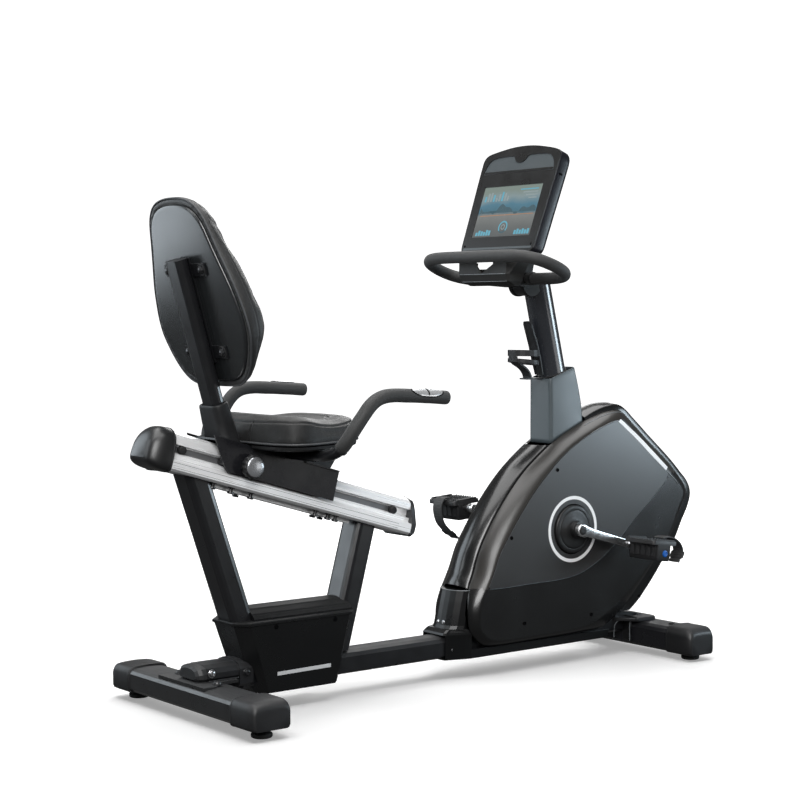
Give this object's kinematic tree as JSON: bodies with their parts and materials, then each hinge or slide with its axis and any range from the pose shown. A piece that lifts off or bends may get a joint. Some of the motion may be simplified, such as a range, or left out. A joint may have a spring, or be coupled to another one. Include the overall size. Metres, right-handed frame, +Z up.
{
  "type": "recumbent exercise bike",
  "caption": "Recumbent exercise bike with sloping seat rail, sliding backrest seat, enclosed magnetic drive, cranks with strap pedals and a tilting console on a mast.",
  "frame": {"origin": "on the floor, under the middle of the bounding box", "axes": "+X forward, from the seat towards the console; +Y to the rider's left; +Z up"},
  "size_m": [1.6903, 0.6, 1.3105],
  "materials": {
    "frame_paint": "satin black powder coat",
    "black_plastic": "fine-textured moulded plastic",
    "shell_plastic": "dark grey, satin to gloss",
    "gloss_black": "gloss black",
    "panel_grey": "grey moulded shell",
    "sleeve_grey": "mid grey satin",
    "rail_alloy": "brushed extrusion",
    "bright_chrome": "polished",
    "soft_rubber": "matt",
    "grip_foam": "foam sleeve",
    "cushion_vinyl": "textured upholstery over foam",
    "plain_steel": "turned",
    "dark_iron": "machined, dark",
    "knob_silver": "silver plastic",
    "screen_window": "clear window over a display"
  },
  "bodies": {
    "frame": {"rear_foot_bar": "frame_paint", "front_foot_bar": "frame_paint", "main_beam": "frame_paint", "rear_leg": "frame_paint", "front_leg": "frame_paint", "mast": "frame_paint", "rear_foot_cap_left": "black_plastic", "rear_foot_cap_right": "black_plastic", "front_foot_cap_left": "black_plastic", "front_foot_cap_right": "black_plastic", "beam_end_cap": "black_plastic", "rail_front_cap": "black_plastic", "bottle_cage": "black_plastic", "casing_left": "shell_plastic", "casing_right": "shell_plastic", "base_cover": "gloss_black", "rail_rear_cover": "gloss_black", "casing_skirt": "gloss_black", "casing_spine": "gloss_black", "casing_front_band": "gloss_black", "mast_sleeve": "sleeve_grey", "seat_rail": "rail_alloy", "drive_belt": "soft_rubber", "brake_magnet": "dark_iron"},
    "seat": {"seat_carriage": "frame_paint", "glide_block_left": "black_plastic", "glide_block_right": "black_plastic", "seat_pan": "black_plastic", "seat_cushion": "cushion_vinyl", "back_post": "frame_paint", "post_boot": "black_plastic", "back_panel": "panel_grey", "back_cushion": "cushion_vinyl", "seat_handlebar": "frame_paint", "grip_left": "grip_foam", "grip_right": "grip_foam", "pulse_sensor_left": "bright_chrome", "pulse_sensor_right": "bright_chrome"},
    "lock_knob_body": {"lock_knob": "knob_silver"},
    "console": {"console_bracket": "black_plastic", "console_housing": "gloss_black", "console_screen": "screen_window", "handlebar_loop": "grip_foam"},
    "crankset": {"crank_axle": "plain_steel", "crank_arm_right": "bright_chrome", "crank_arm_left": "bright_chrome", "crank_cover_right": "black_plastic", "crank_cover_left": "black_plastic", "drive_pulley": "black_plastic"},
    "pedal_right_body": {"pedal_right": "black_plastic", "pedal_strap_right": "soft_rubber"},
    "pedal_left_body": {"pedal_left": "black_plastic", "pedal_strap_left": "soft_rubber"},
    "flywheel_body": {"flywheel": "dark_iron"},
    "wheel_left": {"transport_wheel_left": "soft_rubber"},
    "wheel_right": {"transport_wheel_right": "soft_rubber"},
    "foot_rear_left": {"levelling_foot_rear_left": "soft_rubber"},
    "foot_rear_right": {"levelling_foot_rear_right": "soft_rubber"},
    "foot_front_left": {"levelling_foot_front_left": "soft_rubber"},
    "foot_front_right": {"levelling_foot_front_right": "soft_rubber"}
  },
  "joints": [
    {"name": "crank_spin", "type": "hinge", "parent": "frame", "child": "crankset", "pos_m": [0.3645, 0, 0.343], "axis": [0, 1, 0], "continuous": true},
    {"name": "pedal_right_spin", "type": "hinge", "parent": "crankset", "child": "pedal_right_body", "pos_m": [0.52984, -0.19, 0.29559], "axis": [0, 1, 0], "continuous": true},
    {"name": "pedal_left_spin", "type": "hinge", "parent": "crankset", "child": "pedal_left_body", "pos_m": [0.19916, 0.19, 0.39041], "axis": [0, 1, 0], "continuous": true},
    {"name": "flywheel_spin", "type": "hinge", "parent": "frame", "child": "flywheel_body", "pos_m": [0.6235, 0, 0.372], "axis": [0, 1, 0], "continuous": true},
    {"name": "seat_slide", "type": "slide", "parent": "frame", "child": "seat", "axis": [0.9603, 0, -0.279], "range_m": [-0.05, 0.19]},
    {"name": "lock_knob_turn", "type": "hinge", "parent": "seat", "child": "lock_knob_body", "pos_m": [-0.5965, -0.075, 0.553], "axis": [0, 1, 0], "range_deg": [0, 120]},
    {"name": "console_tilt", "type": "hinge", "parent": "frame", "child": "console", "pos_m": [0.2755, 0, 0.963], "axis": [0, 1, 0], "range_deg": [-12, 12]},
    {"name": "wheel_left_roll", "type": "hinge", "parent": "frame", "child": "wheel_left", "pos_m": [0.7155, 0.15, 0.036], "axis": [0, 1, 0], "continuous": true},
    {"name": "wheel_right_roll", "type": "hinge", "parent": "frame", "child": "wheel_right", "pos_m": [0.7155, -0.15, 0.036], "axis": [0, 1, 0], "continuous": true},
    {"name": "foot_rear_left_turn", "type": "hinge", "parent": "frame", "child": "foot_rear_left", "pos_m": [-0.6985, 0.256, 0.01], "axis": [0, 0, 1], "continuous": true},
    {"name": "foot_rear_right_turn", "type": "hinge", "parent": "frame", "child": "foot_rear_right", "pos_m": [-0.6985, -0.256, 0.01], "axis": [0, 0, 1], "continuous": true},
    {"name": "foot_front_left_turn", "type": "hinge", "parent": "frame", "child": "foot_front_left", "pos_m": [0.6435, 0.229, 0.01], "axis": [0, 0, 1], "continuous": true},
    {"name": "foot_front_right_turn", "type": "hinge", "parent": "frame", "child": "foot_front_right", "pos_m": [0.6435, -0.229, 0.01], "axis": [0, 0, 1], "continuous": true}
  ],
  "couplings": [
    {"joint": "flywheel_spin", "follows": "crank_spin", "ratio": 5.5}
  ]
}
